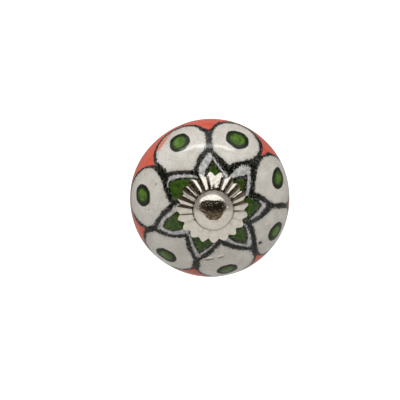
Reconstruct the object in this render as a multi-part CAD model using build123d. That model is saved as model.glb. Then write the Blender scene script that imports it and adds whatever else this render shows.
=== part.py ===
from build123d import *
import math
import os

# A round ceramic cabinet knob with a fluted metal cap, held by a dome-headed bolt.
# It is modelled as it sits on a drawer front: the collar meets the board on Y = 0, the bolt runs
# along Y, the painted front looks to -Y and +Z is up. Sizes are in millimetres and degrees.

# Glazed ceramic body
BODY_DIAMETER = 40.0
CROWN_RISE = 13.3
SHOULDER_RADIUS = 9.5
FLANK_ANGLE = 55.0
NECK_DIAMETER = 16.0
NECK_LAND = 0.3
NECK_FILLET = 3.0
FOOT_EDGE_CHAMFER = 0.5
FRONT_FLAT_DIAMETER = 12.0
BODY_BORE_DIAMETER = 6.0

# Turned collar behind the body
COLLAR_HEIGHT = 4.0
COLLAR_FOOT_DIAMETER = 22.0
COLLAR_FOOT_WIDTH = 2.2
COLLAR_FOOT_EDGE = 1.2
COLLAR_RECESS_DEPTH = 1.8
COLLAR_SEAT_MARGIN = 0.6

# Fluted cap in front of the body
CAP_DIAMETER = 17.9
CAP_HEIGHT = 2.2
CAP_SHEET = 0.6
CAP_TOP_MARGIN = 0.1
FLUTE_COUNT = 20
FLUTE_DEPTH = 0.85
FLUTE_DEPTH_AT_TOP = 0.22
FLUTE_TIP_FILLET = 0.5
FLUTE_TURN = 3.0

# Bolt with a domed head
BOLT_DIAMETER = 4.0
DOME_DIAMETER = 9.8
DOME_RISE = 3.7
DOME_SHOULDER_RADIUS = 2.8
DOME_LAND = 0.2
DOME_EDGE_CHAMFER = 0.1
STUD_SPARE = 4.0
STUD_CHAMFER = 0.5

# Board that the knob is clamped to, with the washer and nut behind it
BOARD_THICKNESS = 18.0
WASHER_DIAMETER = 9.0
WASHER_THICKNESS = 0.8
NUT_ACROSS_FLATS = 7.0
NUT_HEIGHT = 3.2
NUT_CORNER_ANGLE = 30.0
NUT_MOUTH_CHAMFER = 0.3

# Clearances, measured on the radius or along the bolt, and how near two points count as one
BOLT_CLEARANCE = 0.15
THREAD_CLEARANCE = 0.05
CAP_CLEARANCE = 0.02
SAME_PLACE = 1e-4


def crown_radius(half_width, rise, shoulder_radius):
    """The radius of a dome's crown that runs smoothly on from its rounded shoulder."""
    shoulder_x = half_width - shoulder_radius
    return (rise**2 + shoulder_x**2 - shoulder_radius**2) / (2 * (rise - shoulder_radius))


# Places along the bolt, counted forward from the board
FOOT_FRONT = COLLAR_HEIGHT
BOLT_RADIUS = BOLT_DIAMETER / 2
HOLE_RADIUS = BOLT_RADIUS + BOLT_CLEARANCE
SHOULDER_X = BODY_DIAMETER / 2 - SHOULDER_RADIUS
FLANK_TURN = math.radians(FLANK_ANGLE)
FLANK_START_X = SHOULDER_X + SHOULDER_RADIUS * math.cos(FLANK_TURN)
FLANK_LENGTH = (FLANK_START_X - NECK_DIAMETER / 2) / math.sin(FLANK_TURN)
NECK_LENGTH = FOOT_EDGE_CHAMFER + NECK_LAND + NECK_FILLET * math.tan(FLANK_TURN / 2)
NECK_FRONT = FOOT_FRONT + NECK_LENGTH
FLANK_START_FRONT = NECK_FRONT + FLANK_LENGTH * math.cos(FLANK_TURN)
WIDEST_FRONT = FLANK_START_FRONT + SHOULDER_RADIUS * math.sin(FLANK_TURN)
CROWN_RADIUS = crown_radius(BODY_DIAMETER / 2, CROWN_RISE, SHOULDER_RADIUS)
CROWN_CENTRE_FRONT = WIDEST_FRONT + CROWN_RISE - CROWN_RADIUS


def crown_front(radius):
    """How far forward the body's domed front stands at a distance from the bolt."""
    return CROWN_CENTRE_FRONT + math.sqrt(CROWN_RADIUS**2 - radius**2)


# The cap bears on the crown at the inner edge of its notches.
CAP_TOP_RADIUS = DOME_DIAMETER / 2 + CAP_TOP_MARGIN + FLUTE_DEPTH_AT_TOP
CAP_TOP_NOTCH = CAP_TOP_RADIUS - FLUTE_DEPTH_AT_TOP
CAP_RIM_NOTCH = CAP_DIAMETER / 2 - FLUTE_DEPTH
CAP_BEARING = CAP_TOP_NOTCH + (CAP_RIM_NOTCH - CAP_TOP_NOTCH) * (1 - CAP_SHEET / CAP_HEIGHT)
CAP_RIM_FRONT = crown_front(CAP_BEARING) + CAP_CLEARANCE
CAP_TOP_FRONT = CAP_RIM_FRONT + CAP_HEIGHT
STUD_LENGTH = BOARD_THICKNESS + WASHER_THICKNESS + NUT_HEIGHT + STUD_SPARE


def turned(section):
    """A piece turned about the bolt from half of its section, drawn as radius and forward distance."""
    return Rot(X=180) * revolve(section, Axis.Y)


def corners_at(section, radius, front):
    """The section's corners at one point."""
    place = Vector(radius, front, 0)
    return [corner for corner in section.vertices() if (corner.center() - place).length < SAME_PLACE]


def ceramic_body():
    """One casting: domed front, rounded shoulder, tapering back and a short neck, with the bolt's bore."""
    crown_centre = (0, CROWN_CENTRE_FRONT)
    shoulder_centre = (SHOULDER_X, WIDEST_FRONT)
    join_angle = math.degrees(math.atan2(WIDEST_FRONT - CROWN_CENTRE_FRONT, SHOULDER_X))
    flat_radius = FRONT_FLAT_DIAMETER / 2
    flat_angle = math.degrees(math.acos(flat_radius / CROWN_RADIUS))
    flat_front = crown_front(flat_radius)
    bore_radius = BODY_BORE_DIAMETER / 2
    neck_radius = NECK_DIAMETER / 2

    crown = CenterArc(crown_centre, CROWN_RADIUS, join_angle, flat_angle - join_angle)
    shoulder = CenterArc(shoulder_centre, SHOULDER_RADIUS, -FLANK_ANGLE, join_angle + FLANK_ANGLE)
    back_and_bore = Polyline(
        (FLANK_START_X, FLANK_START_FRONT),
        (neck_radius, NECK_FRONT),
        (neck_radius, FOOT_FRONT),
        (bore_radius, FOOT_FRONT),
        (bore_radius, flat_front),
        (flat_radius, flat_front),
    )
    section = make_face([*crown.edges(), *shoulder.edges(), *back_and_bore.edges()])
    section = fillet(corners_at(section, neck_radius, NECK_FRONT), NECK_FILLET)
    section = chamfer(corners_at(section, neck_radius, FOOT_FRONT), FOOT_EDGE_CHAMFER)
    return turned(section)


def back_collar():
    """A turned ring with a seat for the body's foot, a flared side and a foot ring round a recess."""
    seat_radius = NECK_DIAMETER / 2 + COLLAR_SEAT_MARGIN
    foot_radius = COLLAR_FOOT_DIAMETER / 2
    recess_radius = foot_radius - COLLAR_FOOT_WIDTH
    section = Polyline(
        (HOLE_RADIUS, COLLAR_HEIGHT),
        (seat_radius, COLLAR_HEIGHT),
        (foot_radius, COLLAR_FOOT_EDGE),
        (foot_radius, 0),
        (recess_radius, 0),
        (recess_radius, COLLAR_RECESS_DEPTH),
        (HOLE_RADIUS, COLLAR_RECESS_DEPTH),
        close=True,
    )
    return turned(make_face(section.edges()))


def flute_outline(tip_radius, depth):
    """A ring of rounded pleats, as a flat face across the bolt with its middle on the bolt."""
    half_pitch = 180 / FLUTE_COUNT
    first_tip = 90 + FLUTE_TURN
    points = []
    for index in range(2 * FLUTE_COUNT):
        angle = math.radians(first_tip + index * half_pitch)
        radius = tip_radius - depth * (index % 2)
        points.append((radius * math.cos(angle), radius * math.sin(angle)))
    outline = make_face(Polyline(*points, close=True).edges())
    middle_radius = tip_radius - depth / 2
    tips = [corner for corner in outline.vertices() if corner.center().length > middle_radius]
    return fillet(tips, FLUTE_TIP_FILLET)


def fluted_cap():
    """Thin sheet stamped into pleats that grow from a round flat top to a scalloped rim."""
    rim = Plane.XZ.offset(CAP_RIM_FRONT) * flute_outline(CAP_DIAMETER / 2, FLUTE_DEPTH)
    top = Plane.XZ.offset(CAP_TOP_FRONT) * flute_outline(CAP_TOP_RADIUS, FLUTE_DEPTH_AT_TOP)
    pleats = loft([rim, top], ruled=True)
    hollow = Pos(0, CAP_SHEET, 0) * pleats
    bolt_hole = extrude(Plane.XZ.offset(CAP_RIM_FRONT) * Circle(HOLE_RADIUS), CAP_HEIGHT)
    return pleats - hollow - bolt_hole


def dome_bolt():
    """A polished dome in one piece with the long shank that is threaded for the nut."""
    dome_radius = DOME_DIAMETER / 2
    land_front = CAP_TOP_FRONT + DOME_LAND
    shoulder_x = dome_radius - DOME_SHOULDER_RADIUS
    dome_crown = crown_radius(dome_radius, DOME_RISE, DOME_SHOULDER_RADIUS)
    setback = dome_crown - DOME_RISE
    join_angle = math.degrees(math.atan2(setback, shoulder_x))
    crown_centre = (0, land_front - setback)

    crown = CenterArc(crown_centre, dome_crown, join_angle, 90 - join_angle)
    shoulder = CenterArc((shoulder_x, land_front), DOME_SHOULDER_RADIUS, 0, join_angle)
    shank_and_land = Polyline(
        crown @ 1,
        (0, -STUD_LENGTH),
        (BOLT_RADIUS - STUD_CHAMFER, -STUD_LENGTH),
        (BOLT_RADIUS, STUD_CHAMFER - STUD_LENGTH),
        (BOLT_RADIUS, CAP_TOP_FRONT),
        (dome_radius, CAP_TOP_FRONT),
        (dome_radius, land_front),
    )
    section = make_face([*crown.edges(), *shoulder.edges(), *shank_and_land.edges()])
    section = chamfer(corners_at(section, dome_radius, CAP_TOP_FRONT), DOME_EDGE_CHAMFER)
    return turned(section)


def flat_washer():
    """A stamped ring that bears on the inside of the board."""
    ring = Circle(WASHER_DIAMETER / 2) - Circle(HOLE_RADIUS)
    return extrude(Plane.XZ.offset(-BOARD_THICKNESS) * ring, -WASHER_THICKNESS)


def hex_nut():
    """A hexagon nut with its corners turned down on both sides and a chamfered mouth at each end."""
    front = -BOARD_THICKNESS - WASHER_THICKNESS
    flats = RegularPolygon(NUT_ACROSS_FLATS / 2, 6, major_radius=False)
    block = extrude(Plane.XZ.offset(front) * flats, -NUT_HEIGHT)

    corner_radius = NUT_ACROSS_FLATS / math.sqrt(3)
    corner_drop = (corner_radius - NUT_ACROSS_FLATS / 2) * math.tan(math.radians(NUT_CORNER_ANGLE))
    bore_radius = BOLT_RADIUS + THREAD_CLEARANCE
    mouth_radius = bore_radius + NUT_MOUTH_CHAMFER
    back = front - NUT_HEIGHT
    envelope = Polyline(
        (mouth_radius, front),
        (NUT_ACROSS_FLATS / 2, front),
        (corner_radius, front - corner_drop),
        (corner_radius, back + corner_drop),
        (NUT_ACROSS_FLATS / 2, back),
        (mouth_radius, back),
        (bore_radius, back + NUT_MOUTH_CHAMFER),
        (bore_radius, front - NUT_MOUTH_CHAMFER),
        close=True,
    )
    return block & turned(make_face(envelope.edges()))


os.makedirs("parts", exist_ok=True)
for piece in (ceramic_body, back_collar, fluted_cap, dome_bolt, flat_washer, hex_nut):
    export_step(piece(), f"parts/{piece.__name__}.step")
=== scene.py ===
import math

import bmesh
import bpy
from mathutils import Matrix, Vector


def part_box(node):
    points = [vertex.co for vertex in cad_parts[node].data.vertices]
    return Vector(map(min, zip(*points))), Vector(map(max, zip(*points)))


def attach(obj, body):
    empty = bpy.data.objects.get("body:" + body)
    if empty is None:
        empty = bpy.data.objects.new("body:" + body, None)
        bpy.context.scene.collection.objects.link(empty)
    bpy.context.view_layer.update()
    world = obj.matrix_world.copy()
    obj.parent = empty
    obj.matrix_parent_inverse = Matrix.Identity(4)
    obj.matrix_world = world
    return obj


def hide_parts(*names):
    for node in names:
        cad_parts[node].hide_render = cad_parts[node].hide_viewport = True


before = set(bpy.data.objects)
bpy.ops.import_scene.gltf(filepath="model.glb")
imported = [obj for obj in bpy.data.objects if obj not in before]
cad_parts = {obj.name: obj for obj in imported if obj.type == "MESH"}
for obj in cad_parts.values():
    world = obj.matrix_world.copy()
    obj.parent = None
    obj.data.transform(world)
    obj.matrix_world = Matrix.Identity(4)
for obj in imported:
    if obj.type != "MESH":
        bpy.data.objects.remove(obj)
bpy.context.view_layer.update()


# Ceramic body
# One stoneware casting, turned to a flattened ball with a neck at the back. It is covered in white
# slip, painted by hand and glazed all over. Its foot stands on the metal collar, and its bore lets the
# bolt through.
MM = 0.001
body_low, body_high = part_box("ceramic_body")
BODY_RADIUS = body_high.x
FOOT_FRONT = -body_high.y
FLAT_FRONT = -body_low.y
CROWN_RISE = 13.3 * MM
SHOULDER_RADIUS = 9.5 * MM
FLANK_TURN = math.radians(55)
NECK_RADIUS = 8 * MM
NECK_LAND = 0.3 * MM
NECK_FILLET = 3 * MM
FOOT_CHAMFER = 0.5 * MM
FLAT_RADIUS = 6 * MM
BORE_RADIUS = 3 * MM
BODY_STEPS = 192
SAME_PLACE = 0.001 * MM
SWELL_FROM = 9.5 * MM
SWELL_GRAIN = 16 * MM
SWELL_HEIGHT = 0.35 * MM

SHOULDER_X = BODY_RADIUS - SHOULDER_RADIUS
crown_over_shoulder = CROWN_RISE - SHOULDER_RADIUS
CROWN_RADIUS = (CROWN_RISE**2 + SHOULDER_X**2 - SHOULDER_RADIUS**2) / (2 * crown_over_shoulder)
CROWN_CENTRE = FLAT_FRONT - math.sqrt(CROWN_RADIUS**2 - FLAT_RADIUS**2)
WIDEST_FRONT = CROWN_CENTRE + CROWN_RADIUS - CROWN_RISE
FLAT_ANGLE = math.acos(FLAT_RADIUS / CROWN_RADIUS)
JOIN_ANGLE = math.atan2(WIDEST_FRONT - CROWN_CENTRE, SHOULDER_X)
NECK_FRONT = FOOT_FRONT + FOOT_CHAMFER + NECK_LAND


def pick_object(piece):
    """Leaves only one object selected, in object mode."""
    if bpy.context.mode != "OBJECT":
        bpy.ops.object.mode_set(mode="OBJECT")
    bpy.ops.object.select_all(action="DESELECT")
    if piece:
        piece.select_set(True)
        bpy.context.view_layer.objects.active = piece


def name_piece(name):
    """Names the object that an operator has just added."""
    piece = bpy.context.object
    piece.name = name
    piece.data.name = name
    return piece


def start_section(name, radius, front):
    """A new piece with one point of its half section, drawn as radius and forward distance."""
    pick_object(None)
    bpy.ops.mesh.primitive_plane_add(size=MM)
    piece = name_piece(name)
    bpy.ops.object.mode_set(mode="EDIT")
    bpy.ops.mesh.merge(type="CENTER")
    bpy.ops.transform.translate(value=(radius, -front, 0))
    return piece


def draw_line(radius, front, steps=1):
    """Carries the half section on in a straight line to a point."""
    points = bmesh.from_edit_mesh(bpy.context.object.data).verts
    pen = next(point.co.copy() for point in points if point.select)
    stride = (Vector((radius, -front, 0)) - pen) / steps
    for _ in range(steps):
        bpy.ops.mesh.extrude_region_move(TRANSFORM_OT_translate={"value": stride})


def draw_arc(centre_radius, centre_front, turn, steps):
    """Carries the half section on round a centre."""
    centre = (centre_radius, -centre_front, 0)
    bpy.ops.mesh.spin(steps=steps, angle=turn, center=centre, axis=(0, 0, 1))


def close_mesh(piece):
    """Merges what meets and turns the faces outwards."""
    bpy.ops.mesh.select_all(action="SELECT")
    bpy.ops.mesh.remove_doubles(threshold=SAME_PLACE)
    bpy.ops.mesh.normals_make_consistent(inside=False)
    pick_object(piece)


def turn_section(piece, steps, smooth_below=35):
    """Turns the half section about the bolt's axis."""
    bpy.ops.mesh.select_all(action="SELECT")
    bpy.ops.mesh.spin(steps=steps, angle=math.tau, center=(0, 0, 0), axis=(0, 1, 0))
    close_mesh(piece)
    bpy.ops.object.shade_smooth_by_angle(angle=math.radians(smooth_below))


ceramic = start_section("ceramic_shell", BORE_RADIUS, FLAT_FRONT)
draw_line(FLAT_RADIUS, FLAT_FRONT, steps=3)
draw_arc(0, CROWN_CENTRE, JOIN_ANGLE - FLAT_ANGLE, steps=26)
draw_arc(SHOULDER_X, WIDEST_FRONT, -JOIN_ANGLE - FLANK_TURN, steps=44)
neck_centre_x = NECK_RADIUS + NECK_FILLET
neck_arc_x = neck_centre_x - NECK_FILLET * math.cos(FLANK_TURN)
neck_arc_front = NECK_FRONT + NECK_FILLET * math.sin(FLANK_TURN)
draw_line(neck_arc_x, neck_arc_front, steps=10)
draw_arc(neck_centre_x, NECK_FRONT, FLANK_TURN, steps=10)
draw_line(NECK_RADIUS, FOOT_FRONT + FOOT_CHAMFER)
draw_line(NECK_RADIUS - FOOT_CHAMFER, FOOT_FRONT)
draw_line(BORE_RADIUS, FOOT_FRONT, steps=3)
draw_line(BORE_RADIUS, FLAT_FRONT, steps=12)
turn_section(ceramic, BODY_STEPS)

# The hand casting's slight swell, on the glazed outside only
swell_group = ceramic.vertex_groups.new(name="glazed_outside")
outside = []
for vertex in ceramic.data.vertices:
    reach = math.hypot(vertex.co.x, vertex.co.z)
    if reach > SWELL_FROM and -vertex.co.y > NECK_FRONT + NECK_FILLET:
        outside.append(vertex.index)
swell_group.add(outside, 1.0, "REPLACE")
swell_texture = bpy.data.textures.new("casting_swell", "CLOUDS")
swell_texture.noise_scale = SWELL_GRAIN
swell_texture.noise_depth = 1
swell = ceramic.modifiers.new("casting_swell", "DISPLACE")
swell.texture = swell_texture
swell.texture_coords = "LOCAL"
swell.vertex_group = swell_group.name
swell.strength = SWELL_HEIGHT
swell.mid_level = 0.5
bpy.ops.object.modifier_apply(modifier=swell.name)

# The flower is laid out flat, in millimetres along the glaze from the bolt's axis and degrees from
# 3 o'clock. A petal has a tip, the join with the next petal clockwise, the notch of orange beyond its
# tip, the bulge of its two sides and the width of the stroke from tip to notch.
PETALS = (
    # tip at, degrees, join at, degrees, notch at, degrees, bulges, stroke
    (14.6, 92.9, 9.7, 65.2, 19.6, 91.8, 0.85, 0.25, 1.8),
    (15.2, 43.9, 10.2, 17.0, 18.9, 44.2, 1.35, 0.2, 2.3),
    (15.1, -1.0, 9.8, -25.0, 21.8, -4.0, 0.5, 0.8, 1.6),
    (16.4, -46.9, 8.8, -78.0, 18.6, -49.8, 0.5, 0.6, 2.0),
    (15.4, -104.6, 9.8, -132.0, 18.2, -103.7, 0.35, 0.4, 2.0),
    (16.5, -157.2, 9.5, 174.4, 18.8, -157.2, 0.85, 0.45, 1.7),
    (14.4, 147.8, 9.4, 115.8, 18.2, 145.4, 0.75, 0.6, 2.5),
)
# Its green core runs out from under the metal cap to a tip of its own, and leaves a pale band inside
# the petal.
CORES = (
    # foot at, degrees, tip at, degrees, other foot at, degrees, bulges, outline
    (8.5, 103.3, 11.85, 90.1, 8.7, 74.5, 0.12, 0.1, 0.7),
    (8.8, 54.9, 11.75, 41.8, 8.95, 24.4, 0.05, 0.1, 0.85),
    (8.8, 16.8, 12.6, 0.1, 9.5, -21.0, 0.68, 0.12, 0.62),
    (9.0, -31.3, 13.2, -48.8, 9.3, -60.8, 0.55, 0.42, 0.6),
    (8.6, -83.5, 12.9, -104.4, 9.5, -123.1, 0.05, 0.13, 0.5),
    (9.2, -143.2, 13.8, -156.5, 8.8, -173.4, 0.71, 0.46, 0.25),
    (8.8, 172.0, 12.5, 150.0, 9.2, 126.3, 1.05, 0.45, 0.45),
)
# A cell swells from its own start beside its petal's notch to its end beside the next notch, and a dot
# is an oval in it, with its long way turned from 3 o'clock.
CELLS = (
    # start at, degrees, end at, degrees, bulge, dot at, degrees, half length, half width, turned
    (19.6, 90.6, 19.4, 46.0, 7.0, 18.7, 68.0, 3.25, 2.65, -20),
    (18.4, 42.6, 22.0, -3.6, 7.4, 19.5, 20.0, 3.0, 2.2, 80),
    (21.8, -4.8, 19.4, -48.6, 6.9, 19.3, -25.1, 2.85, 2.2, 60),
    (19.0, -51.4, 18.4, -102.6, 6.7, 19.2, -77.0, 2.95, 2.1, 17),
    (18.2, -105.4, 19.4, -156.6, 7.0, 19.0, -130.5, 3.05, 2.2, -25),
    (18.6, -159.0, 18.0, 146.4, 8.3, 18.65, 173.0, 3.0, 2.4, 100),
    (18.8, 143.4, 19.4, 93.2, 6.9, 18.8, 117.5, 2.9, 2.6, 45),
)
# Slips of the brush and flaws of the firing are ovals like the dots: an orange smear, a stray black
# spot, two specks and two blisters.
SMEAR = (21.9, 129.6, 3.6, 0.7, 58)
STRAY_SPOT = (16.5, -39.5, 0.6, 0.5, 0)
SPECKS = (
    (15.5, 159.1, 0.3, 0.2, 20),
    (16.7, -175.4, 0.22, 0.22, 0),
)
BLISTERS = (
    (13.8, -92.8, 1.2, 0.4, 12),
    (13.3, -80.9, 0.8, 0.4, 25),
)
FLOWER_RAISED = 0.2
LEAF_FOOT = 5.0
TIP_ROUND = 0.4
PETAL_LINE = 1.35
CELL_LINE = 1.05
CORE_SPREAD = 0.1
DOT_LINE = 0.95
LINE_BLEND = 1.0
# The brush wanders over a longer and a shorter stretch, each with how far it strays.
BRUSH_DRIFT = ((2.2, 0.34), (0.45, 0.13))


def seen(red, green, blue):
    """A colour written as it looks on screen, from 0 to 255."""
    levels = []
    for level in (red, green, blue):
        share = level / 255
        levels.append(share / 12.92 if share <= 0.04045 else ((share + 0.055) / 1.055) ** 2.4)
    return (*levels, 1.0)


SLIP = seen(212, 208, 200)
THIN_SLIP = seen(196, 190, 180)
PALE_SLIP = seen(228, 225, 218)
STAINED_SLIP = seen(166, 158, 146)
GREYED_SLIP = seen(150, 146, 136)
ORANGE = seen(218, 103, 83)
DEEP_ORANGE = seen(199, 82, 64)
ORANGE_GRAIN = seen(168, 62, 44)
ORANGE_IN_PAINTED_SHADE = seen(160, 56, 40)
SMEARED_ORANGE = seen(214, 112, 92)
LEAF_GREEN = seen(62, 88, 30)
DEEP_LEAF_GREEN = seen(42, 62, 18)
DOT_GREEN = seen(88, 128, 42)
DEEP_DOT_GREEN = seen(62, 88, 28)
DOT_EDGE_GREEN = seen(40, 52, 24)
LOW_DOT_GREEN = seen(80, 90, 50)
BAND_GREY = seen(194, 192, 190)
DEEP_BAND_GREY = seen(156, 155, 154)
BLACK = seen(7, 9, 5)
BLACK_GRAIN = seen(132, 132, 122)
DOT_BLACK = seen(24, 30, 16)
SPECK_BROWN = seen(74, 62, 48)
# Painted shadow under the blisters and painted highlight on them
BLISTER_PAINTED_SHADOW = seen(104, 84, 70)
BLISTER_PAINTED_HIGHLIGHT = seen(226, 221, 212)


def new_material(name):
    """A material with its shader and nothing else."""
    material = bpy.data.materials.new(name)
    material.use_nodes = True
    return material, material.node_tree, material.node_tree.nodes["Principled BSDF"]


def feed(tree, socket, value):
    """Sets a socket, or links it to another node's output."""
    if isinstance(value, bpy.types.NodeSocket):
        tree.links.new(value, socket)
    else:
        socket.default_value = value


def calc(tree, operation, *values, clamp=False):
    """A sum on numbers."""
    node = tree.nodes.new("ShaderNodeMath")
    node.operation = operation
    node.use_clamp = clamp
    for socket, value in zip(node.inputs, values):
        feed(tree, socket, value)
    return node.outputs[0]


def vector_calc(tree, operation, *values, output="Vector", **named):
    """A sum on places."""
    node = tree.nodes.new("ShaderNodeVectorMath")
    node.operation = operation
    for socket, value in zip(node.inputs, values):
        feed(tree, socket, value)
    for key, value in named.items():
        feed(tree, node.inputs[key], value)
    return node.outputs[output]


def fade(tree, value, start, end, low=0.0, high=1.0):
    """A soft step from one level to another."""
    node = tree.nodes.new("ShaderNodeMapRange")
    node.interpolation_type = "SMOOTHSTEP"
    for socket, given in zip(node.inputs, (value, start, end, low, high)):
        feed(tree, socket, given)
    return node.outputs[0]


def blend(tree, share, first, second, kind="MIX"):
    """One colour laid over another."""
    node = tree.nodes.new("ShaderNodeMix")
    node.data_type = "RGBA"
    node.blend_type = kind
    feed(tree, node.inputs["Factor"], share)
    feed(tree, node.inputs["A"], first)
    feed(tree, node.inputs["B"], second)
    return node.outputs["Result"]


def grain(tree, place, size, detail=2.0, rough=0.5, shift=(0, 0, 0), output="Factor"):
    """Uneven noise of a grain size, in the units of the place."""
    node = tree.nodes.new("ShaderNodeTexNoise")
    node.inputs["Scale"].default_value = 1 / size
    node.inputs["Detail"].default_value = detail
    node.inputs["Roughness"].default_value = rough
    if any(shift):
        place = vector_calc(tree, "ADD", place, shift)
    tree.links.new(place, node.inputs["Vector"])
    return node.outputs["Color" if output == "Color" else 0]


def polar(distance, degrees):
    """A point of the flat layout."""
    turn = math.radians(degrees)
    return Vector((distance * math.cos(turn), distance * math.sin(turn), 0))


def disc_through(start, end, bulge):
    """Centre and radius of the disc that runs through two points and swells to the left of the way."""
    way = end - start
    left = Vector((-way.y, way.x, 0)).normalized()
    radius = (way.length_squared / 4 + bulge**2) / (2 * bulge)
    centre = (start + end) / 2 + left * (bulge - radius)
    return centre, radius


def outside_disc(tree, place, centre, radius):
    """How far a place lies outside a disc."""
    distance = vector_calc(tree, "DISTANCE", place, centre, output="Value")
    return calc(tree, "SUBTRACT", distance, radius)


def inner_stroke(tree, edge, width):
    """A stroke that runs along the inside of an edge."""
    off_middle = calc(tree, "ABSOLUTE", calc(tree, "ADD", edge, width / 2))
    return calc(tree, "SUBTRACT", off_middle, width / 2)


def outside_leaf(tree, place, foot_before, tip, foot_after, first_bulge, second_bulge):
    """How far a place lies outside a leaf that runs out from under the cap to its tip."""
    first_side = outside_disc(tree, place, *disc_through(foot_before, tip, first_bulge))
    second_side = outside_disc(tree, place, *disc_through(tip, foot_after, second_bulge))
    leaf = calc(tree, "SMOOTH_MAX", first_side, second_side, TIP_ROUND)
    outward = vector_calc(tree, "DOT_PRODUCT", place, tip.normalized(), output="Value")
    return calc(tree, "MAXIMUM", leaf, calc(tree, "SUBTRACT", LEAF_FOOT, outward))


def off_line(tree, place, start, end):
    """How far a place lies from a straight line between two points."""
    way = end - start
    from_start = vector_calc(tree, "SUBTRACT", place, start)
    along = vector_calc(tree, "DOT_PRODUCT", from_start, way / way.length_squared, output="Value")
    along = calc(tree, "ADD", along, 0.0, clamp=True)
    nearest = vector_calc(tree, "SCALE", way, Scale=along)
    return vector_calc(tree, "DISTANCE", from_start, nearest, output="Value")


def off_dot(tree, place, distance, degrees, half_length, half_width, dot_turn):
    """How far a place lies outside an oval dot."""
    centre = polar(distance, degrees)
    turn = tree.nodes.new("ShaderNodeVectorRotate")
    turn.rotation_type = "Z_AXIS"
    tree.links.new(place, turn.inputs["Vector"])
    turn.inputs["Center"].default_value = centre
    turn.inputs["Angle"].default_value = -math.radians(dot_turn)
    from_centre = vector_calc(tree, "SUBTRACT", turn.outputs[0], centre)
    share = vector_calc(tree, "DIVIDE", from_centre, (half_length, half_width, 1))
    length = vector_calc(tree, "LENGTH", share, output="Value")
    middle_size = math.sqrt(half_length * half_width)
    return calc(tree, "MULTIPLY", calc(tree, "SUBTRACT", length, 1.0), middle_size)


def nearest_of(tree, distances, operation="MINIMUM", blend_over=None):
    """The smallest of several distances."""
    smallest = distances[0]
    for distance in distances[1:]:
        values = (smallest, distance) if blend_over is None else (smallest, distance, blend_over)
        smallest = calc(tree, operation, *values)
    return smallest


glaze, tree, glaze_shader = new_material("painted_glaze")
coordinates = tree.nodes.new("ShaderNodeTexCoord").outputs["Object"]
in_mm = vector_calc(tree, "SCALE", coordinates, Scale=1 / MM)
across = vector_calc(tree, "MULTIPLY", in_mm, (1, 0, 1))
reach = vector_calc(tree, "LENGTH", across, output="Value")
parts = tree.nodes.new("ShaderNodeSeparateXYZ")
tree.links.new(in_mm, parts.inputs[0])
ahead = calc(tree, "SUBTRACT", calc(tree, "MULTIPLY", parts.outputs["Y"], -1.0), CROWN_CENTRE / MM)
lean = calc(tree, "ARCTAN2", reach, ahead)
arc_share = calc(tree, "DIVIDE", calc(tree, "MULTIPLY", lean, CROWN_RADIUS / MM), reach)
flat = tree.nodes.new("ShaderNodeCombineXYZ")
tree.links.new(calc(tree, "MULTIPLY", parts.outputs["X"], arc_share), flat.inputs["X"])
tree.links.new(calc(tree, "MULTIPLY", parts.outputs["Z"], arc_share), flat.inputs["Y"])
layout = vector_calc(tree, "SUBTRACT", flat.outputs[0], (0, FLOWER_RAISED, 0))

for size, amount in BRUSH_DRIFT:
    drift = grain(tree, in_mm, size, detail=1.0, output="Color")
    drift = vector_calc(tree, "SUBTRACT", drift, (0.5, 0.5, 0.5))
    drift = vector_calc(tree, "MULTIPLY", drift, (2 * amount, 2 * amount, 0))
    layout = vector_calc(tree, "ADD", layout, drift)

petal_edges = []
core_edges = []
core_lines = []
divider_lines = []
for index, (petal, core) in enumerate(zip(PETALS, CORES)):
    tip = polar(*petal[0:2])
    notch = polar(*petal[4:6])
    join_before = polar(*PETALS[index - 1][2:4])
    join_after = polar(*petal[2:4])
    petal_edges.append(outside_leaf(tree, layout, join_before, tip, join_after, *petal[6:8]))
    core_points = polar(*core[0:2]), polar(*core[2:4]), polar(*core[4:6])
    core_edge = outside_leaf(tree, layout, *core_points, *core[6:8])
    core_edge = calc(tree, "SUBTRACT", core_edge, CORE_SPREAD)
    core_edges.append(core_edge)
    core_lines.append(inner_stroke(tree, core_edge, core[8]))
    divider_lines.append(calc(tree, "SUBTRACT", off_line(tree, layout, tip, notch), petal[8] / 2))
cell_edges = []
dot_edges = []
for cell in CELLS:
    cell_start = polar(*cell[0:2])
    cell_end = polar(*cell[2:4])
    cell_edges.append(outside_disc(tree, layout, *disc_through(cell_start, cell_end, cell[4])))
    dot_edges.append(off_dot(tree, layout, *cell[5:]))

petals = nearest_of(tree, petal_edges)
cores = nearest_of(tree, core_edges)
cells = calc(tree, "MINIMUM", nearest_of(tree, cell_edges), petals)
dots = nearest_of(tree, dot_edges)
divider_ink = nearest_of(tree, divider_lines)

# Black is brushed on last, heavier where strokes meet, and its rough bristles leave pale grains.
pressure = grain(tree, in_mm, 5.0, detail=1.0, shift=(31, 7, 13))
pressure = fade(tree, pressure, 0.3, 0.7, -0.16, 0.16)
petal_ink = calc(tree, "SUBTRACT", calc(tree, "ABSOLUTE", petals), PETAL_LINE / 2)
cell_ink = calc(tree, "SUBTRACT", calc(tree, "ABSOLUTE", cells), CELL_LINE / 2)
ink = nearest_of(tree, [petal_ink, cell_ink, divider_ink], "SMOOTH_MIN", LINE_BLEND)
cell_side = calc(tree, "SUBTRACT", cells, CELL_LINE / 2)
ink = calc(tree, "MAXIMUM", ink, cell_side)
ink = calc(tree, "ADD", ink, pressure)
stray_spot = off_dot(tree, layout, *STRAY_SPOT)
ink = calc(tree, "MINIMUM", ink, stray_spot)
clean_ink = ink
bristle = grain(tree, in_mm, 0.32, detail=1.0, rough=0.5, shift=(2, 17, 4))
ragged = fade(tree, bristle, 0.3, 0.7, -0.2, 0.2)
ink = calc(tree, "ADD", ink, ragged)
ink_mask = fade(tree, ink, 0.12, -0.12)

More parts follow.
